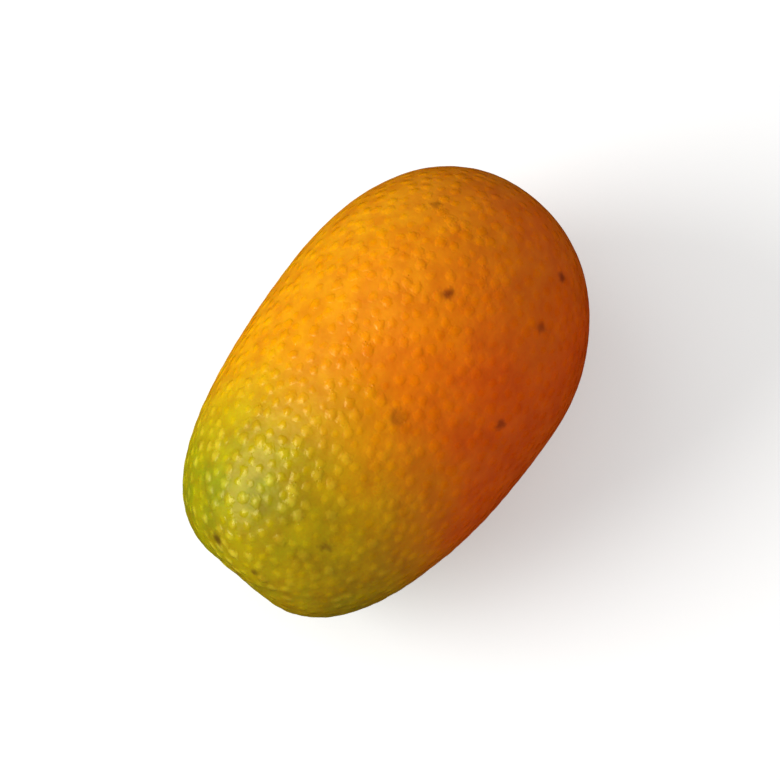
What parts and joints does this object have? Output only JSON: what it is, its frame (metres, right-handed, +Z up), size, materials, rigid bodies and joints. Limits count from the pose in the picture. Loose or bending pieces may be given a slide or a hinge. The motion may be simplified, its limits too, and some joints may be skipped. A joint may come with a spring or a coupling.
{
  "type": "kumquat",
  "caption": "Whole oval kumquat, pebbled orange peel turning green towards the stem end, lying on its side on a small flat spot.",
  "frame": {"origin": "on the surface that the fruit rests on, under the middle of its bounding box", "axes": "+X along the fruit's long axis from the stem end to the blossom end, +Z up"},
  "size_m": [0.0382, 0.025, 0.0245],
  "materials": {
    "peel": "waxy citrus peel, satin, pebbled with oil glands, orange turning yellow and green at the stem end"
  },
  "bodies": {
    "root": {"kumquat": "peel"}
  },
  "joints": []
}
